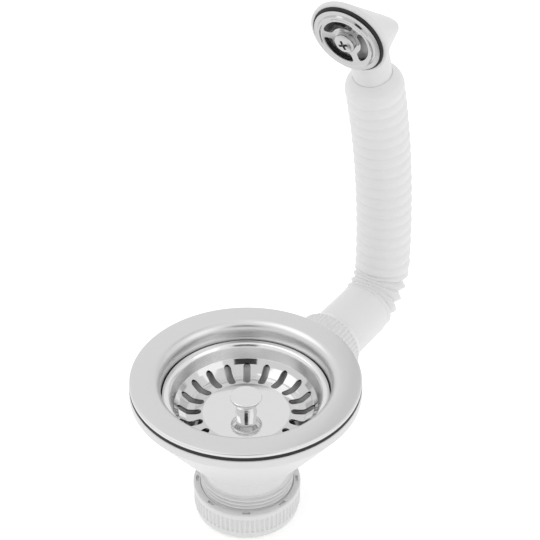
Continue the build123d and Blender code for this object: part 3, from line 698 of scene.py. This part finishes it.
for ring_index in range(RING_COUNT):
    ring_height = CREST - RING_ROOT + min(SWELL * RNG.standard_normal(), 0)
    for t in ring_steps:
        rise = 1 - abs(2 * t - 1) ** RING_POWER
        s = RINGS_FROM + ring_pitch * (ring_index + t)
        stations.append((s, all_round(RING_ROOT + ring_height * rise)))
for t in np.linspace(0, 1, 12):
    radius = RING_ROOT - (RING_ROOT - DOME_END) * t ** DOME_POWER
    stations.append((RINGS_TO + (LENGTH - RINGS_TO) * t, all_round(radius)))
hose_points = []
for s, radius in stations:
    (y, z), (ty, tz) = route(s)
    hose_points.append(np.column_stack((
        radius * np.sin(hose_angles), y + radius * outward * tz, z - radius * outward * ty,
    )))
hose_skin = (np.vstack(hose_points), strip_faces(len(stations), HOSE_TURNS))
flange = soften([
    (BRANCH_BORE, HOSE_FROM, 0.2),
    (FLANGE_RADIUS, HOSE_FROM, 0.3),
    (FLANGE_RADIUS, FLANGE_TOP, 0.3),
    (FLANGE_NECK, FLANGE_TOP, 0.1),
    (FLANGE_NECK, FLANGE_NECK_TOP, 0.0),
    (BRANCH_BORE, FLANGE_NECK_TOP, 0.1),
], steps=3)
hose_shape = joined(hose_skin, lathe(flange, 96, BRANCH_AXIS))
piece("overflow_hose", hose_shape, white_hose, "white_hose", "waste", "hose", sharp=60)

# Overflow elbow: round face, sloping hood and neck as one skin, with a hollow behind the face
SKIN_TURNS = 128
DISC_RADIUS = 20.6
DISC_BACK = 11.8
DISC_EDGE = 12.3
FACE_HEIGHT = 14.1
SEAT_HEIGHT = 13.2
SEAT_RADIUS = 18.95
FACE_BORE = 15.3
HOOD_DROP = 5.4
HOOD_BACK = 0.4
HOOD_HALF_WIDTH = 16.6
HOOD_HALF_DEPTH = 11.0
HOOD_FULLNESS = 3.0
HOLLOW_HALF_WIDTH = 14.2
HOLLOW_HALF_DEPTH = 8.6
ELBOW_NECK_RADIUS = 10.0
ELBOW_NECK_BORE = 8.3
ELBOW_NECK_TOP = 19.8
ELBOW_NECK_FOOT = 44.4
INSERT_HOLE = 3.2
ELBOW_BOSS_RADIUS = 4.6
ELBOW_BOSS_TOP = 15.0
ELBOW_BOSS_FOOT = 4.0
WEB_WIDTH = 23.0
WEB_LENGTH = 14.0
WEB_FOOT = 7.8
skin_angles = np.arange(SKIN_TURNS) * 2 * math.pi / SKIN_TURNS
cos_a, sin_a = np.cos(skin_angles), np.sin(skin_angles)


def face_ring(radius, height):
    """A round ring parallel to the face."""
    return np.column_stack((radius * cos_a, radius * sin_a, np.full(SKIN_TURNS, height)))


def level_ring(half_width, half_depth, drop, back=0.0, fullness=2.0):
    """An oval ring square to the neck. More fullness fills out its corners."""
    across = np.sign(cos_a) * np.abs(cos_a) ** (2 / fullness)
    along = np.sign(sin_a) * np.abs(sin_a) ** (2 / fullness)
    return np.column_stack((half_width * across, np.full(SKIN_TURNS, -drop), -back - half_depth * along))


def bent(before, corner, after, reach, steps):
    """Rings that turn a corner smoothly between two runs of the skin."""
    def toward(a, b):
        gap = b - a
        length = np.linalg.norm(gap, axis=1)[:, None]
        return a + gap / length * np.minimum(reach, 0.45 * length)
    start, end = toward(corner, before), toward(corner, after)
    shares = np.linspace(0, 1, steps + 1)
    return [(1 - t) ** 2 * start + 2 * t * (1 - t) * corner + t ** 2 * end for t in shares]


disc_edge = face_ring(DISC_RADIUS, DISC_EDGE)
disc_back = face_ring(DISC_RADIUS, DISC_BACK)
hood = level_ring(HOOD_HALF_WIDTH, HOOD_HALF_DEPTH, HOOD_DROP, HOOD_BACK, HOOD_FULLNESS)
neck_top = level_ring(ELBOW_NECK_RADIUS, ELBOW_NECK_RADIUS, ELBOW_NECK_TOP)
neck_foot = level_ring(ELBOW_NECK_RADIUS, ELBOW_NECK_RADIUS, ELBOW_NECK_FOOT)
skin = [
    face_ring(FACE_BORE, SEAT_HEIGHT),
    face_ring(SEAT_RADIUS, SEAT_HEIGHT),
    face_ring(SEAT_RADIUS, FACE_HEIGHT),
    face_ring(DISC_RADIUS - 0.5, FACE_HEIGHT),
    face_ring(DISC_RADIUS - 0.15, FACE_HEIGHT - 0.1),
    face_ring(DISC_RADIUS, FACE_HEIGHT - 0.4),
    disc_edge,
]
skin += bent(disc_edge, disc_back, hood, 0.4, 3)
skin += bent(disc_back, hood, neck_top, 1.2, 6)
skin += bent(hood, neck_top, neck_foot, 5.0, 8)
skin += [
    neck_foot,
    level_ring(ELBOW_NECK_BORE, ELBOW_NECK_BORE, ELBOW_NECK_FOOT),
    level_ring(ELBOW_NECK_BORE, ELBOW_NECK_BORE, ELBOW_NECK_TOP),
    level_ring(HOLLOW_HALF_WIDTH, HOLLOW_HALF_DEPTH, HOOD_DROP, HOOD_BACK),
    face_ring(FACE_BORE, DISC_BACK),
]
elbow_skin = (place(np.vstack(skin), FACE_AXIS), strip_faces(len(skin), SKIN_TURNS, closed=True))
elbow_boss = soften([
    (INSERT_HOLE, ELBOW_BOSS_TOP, 0.1),
    (ELBOW_BOSS_RADIUS, ELBOW_BOSS_TOP, 0.3),
    (ELBOW_BOSS_RADIUS, ELBOW_BOSS_FOOT, 0.3),
    (INSERT_HOLE, ELBOW_BOSS_FOOT, 0),
], steps=3)
web_outline = rounded_box(WEB_WIDTH, WEB_LENGTH, 1.0, (0, -WEB_LENGTH / 2))
web = prism(web_outline, WEB_FOOT, DISC_BACK + 0.1, FACE_AXIS)
elbow = joined(elbow_skin, lathe(elbow_boss, 48, FACE_AXIS), web)
piece("overflow_elbow", elbow, white_body, "white_body", "waste", "overflow_body", sharp=50)

# Rubber ring in the seat of the elbow's face
FACE_SEAL_RADIUS = 18.9
FACE_SEAL_BORE = 13.0
FACE_SEAL_TOP = 15.1

face_seal = soften([
    (FACE_SEAL_BORE, SEAT_HEIGHT, 0.2),
    (FACE_SEAL_RADIUS, SEAT_HEIGHT, 0.3),
    (FACE_SEAL_RADIUS, FACE_SEAL_TOP, 0.5),
    (FACE_SEAL_BORE, FACE_SEAL_TOP, 0.2),
], steps=5)
piece("face_seal", lathe(face_seal, 160, FACE_AXIS), black_rubber, "black_rubber", "waste", "overflow_seal")

# Pierced rosette, pressed from sheet: flat edge, raised bead, then a dish down to its hub
ROSETTE_RADIUS = 17.8
ROSETTE_EDGE = 16.0
ROSETTE_BEAD = 17.3
ROSETTE_STEP = 16.9
ROSETTE_HUB = 15.6
ROSETTE_HUB_UNDER = 15.05
ROSETTE_BEAD_UNDER = 16.3
ROSETTE_HOLE = 2.5
BEAD_OUTER = 15.7
BEAD_RADIUS = 14.2
BEAD_INNER = 13.5
DISH_RADIUS = 12.9
HUB_RADIUS = 6.0
HOLE_COUNT = 3
HOLE_START = 112.0
HOLE_MIDDLE = 10.0
HOLE_HALF_WIDTH = 2.3
ARM_HALF_WIDTH = 1.9
ROUND_ACROSS = 0.60
ROUND_ALONG = 0.20

rosette_top = soften([
    (ROSETTE_RADIUS, ROSETTE_EDGE - 0.3, 0),
    (ROSETTE_RADIUS, ROSETTE_EDGE, 0.25),
    (BEAD_OUTER, ROSETTE_EDGE, 0.3),
    (BEAD_OUTER - 0.6, ROSETTE_BEAD - 0.3, 0.3),
    (BEAD_RADIUS, ROSETTE_BEAD, 0.3),
    (BEAD_INNER, ROSETTE_STEP, 0.3),
    (DISH_RADIUS, ROSETTE_STEP, 0.4),
    (HUB_RADIUS, ROSETTE_HUB, 0.6),
    (ROSETTE_HOLE, ROSETTE_HUB, 0),
], steps=5, closed=False)
rosette_under = np.array([
    (ROSETTE_HOLE, ROSETTE_HUB_UNDER),
    (HUB_RADIUS + 0.1, ROSETTE_HUB_UNDER),
    (DISH_RADIUS - 0.1, ROSETTE_BEAD_UNDER),
    (BEAD_RADIUS + 0.2, ROSETTE_BEAD_UNDER),
    (BEAD_OUTER - 0.4, ROSETTE_EDGE - 0.7),
    (ROSETTE_RADIUS - 0.1, ROSETTE_EDGE - 0.85),
])
rosette_shape = lathe(np.vstack((rosette_top, rosette_under)), 192, FACE_AXIS)
# One hole in unit terms, u across and v along it, then bent round the hub for each of the three
unit_hole = []
for u_side, v_side, first in ((1, 1, 0), (-1, 1, 90), (-1, -1, 180), (1, -1, 270)):
    for step in range(7):
        turn = math.radians(first + 15 * step)
        u = u_side * (1 - ROUND_ACROSS) + ROUND_ACROSS * math.cos(turn)
        v = v_side * (1 - ROUND_ALONG) + ROUND_ALONG * math.sin(turn)
        unit_hole.append((u, v))
dense_hole = []
for (u0, v0), (u1, v1) in zip(unit_hole, unit_hole[1:] + unit_hole[:1]):
    parts = max(1, int(abs(v1 - v0) / 0.08))
    dense_hole.extend((u0 + (u1 - u0) * t / parts, v0 + (v1 - v0) * t / parts) for t in range(parts))
holes = []
for k in range(HOLE_COUNT):
    hole = []
    for u, v in dense_hole:
        radius = HOLE_MIDDLE + HOLE_HALF_WIDTH * u
        half_turn = math.radians(180 / HOLE_COUNT) - math.asin(ARM_HALF_WIDTH / radius)
        turn = math.radians(HOLE_START + 360 / HOLE_COUNT * k) + v * half_turn
        hole.append((radius * math.cos(turn), radius * math.sin(turn)))
    holes.append(prism(hole, ROSETTE_EDGE - 2.0, ROSETTE_EDGE + 2.5, FACE_AXIS))
rosette = combine(to_mesh("rosette", rosette_shape), joined(*holes))
piece("rosette", rosette, rosette_steel, "bright_steel", "waste", "overflow_rosette", sharp=34)

# Pan-head screw with a cross recess
SHANK_RADIUS = 2.3
SHANK_END = 8.5
HEAD_RADIUS = 5.3
HEAD_SHOULDER = 4.2
HEAD_FLAT = 2.1
HEAD_TOP = 19.2
CROSS_LENGTH = 5.4
CROSS_WIDTH = 1.4
CROSS_FLOOR = 16.8
CROSS_TURN = 20.0

screw_profile = soften([
    (0, SHANK_END, 0),
    (SHANK_RADIUS, SHANK_END, 0.3),
    (SHANK_RADIUS, ROSETTE_HUB, 0),
    (HEAD_RADIUS, ROSETTE_HUB, 0.2),
    (HEAD_RADIUS, HEAD_TOP - 1.0, 0.5),
    (HEAD_SHOULDER, HEAD_TOP - 0.3, 0.8),
    (HEAD_FLAT, HEAD_TOP, 0.8),
    (0, HEAD_TOP, 0),
], steps=5)
screw_mesh = to_mesh("screw", lathe(screw_profile, 96, FACE_AXIS))
for width, height in ((CROSS_LENGTH, CROSS_WIDTH), (CROSS_WIDTH, CROSS_LENGTH)):
    arm = turned(rounded_box(width, height, 0.3), CROSS_TURN)
    screw_mesh = combine(screw_mesh, prism(arm, CROSS_FLOOR, HEAD_TOP + 0.8, FACE_AXIS))
piece("rosette_screw", screw_mesh, rosette_steel, "bright_steel", "waste", "overflow_screw", sharp=34)

# Finishes on the solids that stay as they are
for node, material in {
    "body_insert": brass,
    "overflow_insert": brass,
    "centre_screw": bright_steel,
    "outlet_washer": black_rubber,
    "stopper": black_rubber,
    "stopper_washer": bright_steel,
    "knob_screw": bright_steel,
    "hose_washer": black_rubber,
}.items():
    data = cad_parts[node].data
    data.materials.clear()
    data.materials.append(material)


def flat_sheet(name, low, high, height, material):
    """A level rectangle between two corners, in metres."""
    corners = [(low[0], low[1]), (high[0], low[1]), (high[0], high[1]), (low[0], high[1])]
    mesh = bpy.data.meshes.new(name)
    mesh.from_pydata([(x, y, height) for x, y in corners], [], [(0, 1, 2, 3)])
    mesh.materials.append(material)
    sheet = bpy.data.objects.new(name, mesh)
    bpy.context.collection.objects.link(sheet)
    return sheet


def aimed(location, target):
    """A frame at a place, its local -Z toward the target."""
    back = (Vector(location) - Vector(target)).normalized()
    return Matrix.Translation(Vector(location)) @ back.to_track_quat("Z", "Y").to_matrix().to_4x4()


# Pale floor under the nut's foot, with a little light of its own
FLOOR_HEIGHT = -0.08345
FLOOR_REACH = 12.0

floor_finish = shader("floor", 0.93, 0.9, PLAIN, 40, 0.02, 0.004)
floor_inputs = floor_finish.node_tree.nodes["Principled BSDF"].inputs
floor_inputs["Specular IOR Level"].default_value = 0.0
floor_inputs["Emission Color"].default_value = (1, 1, 1, 1)
floor_inputs["Emission Strength"].default_value = 0.26
floor_corner = (FLOOR_REACH, FLOOR_REACH)
floor = flat_sheet("floor", (-FLOOR_REACH, -FLOOR_REACH), floor_corner, FLOOR_HEIGHT, floor_finish)

# White studio: the world gives most of the light, two soft lamps the rest
world = bpy.data.worlds.new("studio")
bpy.context.scene.world = world
world.use_nodes = True
world.node_tree.nodes["Background"].inputs["Color"].default_value = (1, 1, 1, 1)
world.node_tree.nodes["Background"].inputs["Strength"].default_value = 0.92

LAMP_TARGET = (0, 0.03, 0.02)
for name, location, size, power in (
    ("key", (-0.55, -0.25, 1.05), 0.9, 1.6),
    ("fill", (0.95, 0.10, 0.75), 0.8, 0.8),
):
    lamp = bpy.data.lights.new(name, "AREA")
    lamp.size = size
    lamp.energy = power
    lamp_object = bpy.data.objects.new(name, lamp)
    bpy.context.collection.objects.link(lamp_object)
    lamp_object.matrix_world = aimed(location, LAMP_TARGET)

# Camera at the photograph's viewing angle, fitted to the brim and the hose
EYE = Vector((0.30363, -0.43720, 0.43642))
FORWARD = Vector((-0.45267, 0.68391, -0.57215))
UP = Vector((-0.3158, 0.4771, 0.8202))
RIGHT = Vector((0.83389, 0.55194, 0.0))

# Dark card behind the camera: the camera doesn't see it, and the steel reflects it
CARD_BACK = 0.06

card_finish = shader("card", 0.03, 0.8, PLAIN, 60, 0.05, 0.1)
card = flat_sheet("card", (-0.20, -0.12), (0.20, 0.14), 0, card_finish)
card.matrix_world = aimed(EYE - CARD_BACK * FORWARD, (0, 0.03, 0.0))
card.visible_camera = False

camera = bpy.data.cameras.new("camera")
camera.sensor_width = 36.0
camera.lens = 93.33
camera_object = bpy.data.objects.new("camera", camera)
bpy.context.collection.objects.link(camera_object)
view = Matrix((RIGHT, UP, -FORWARD)).transposed()
camera_object.matrix_world = Matrix.Translation(EYE) @ view.to_4x4()
bpy.context.scene.camera = camera_object
bpy.context.scene.view_settings.view_transform = "Standard"
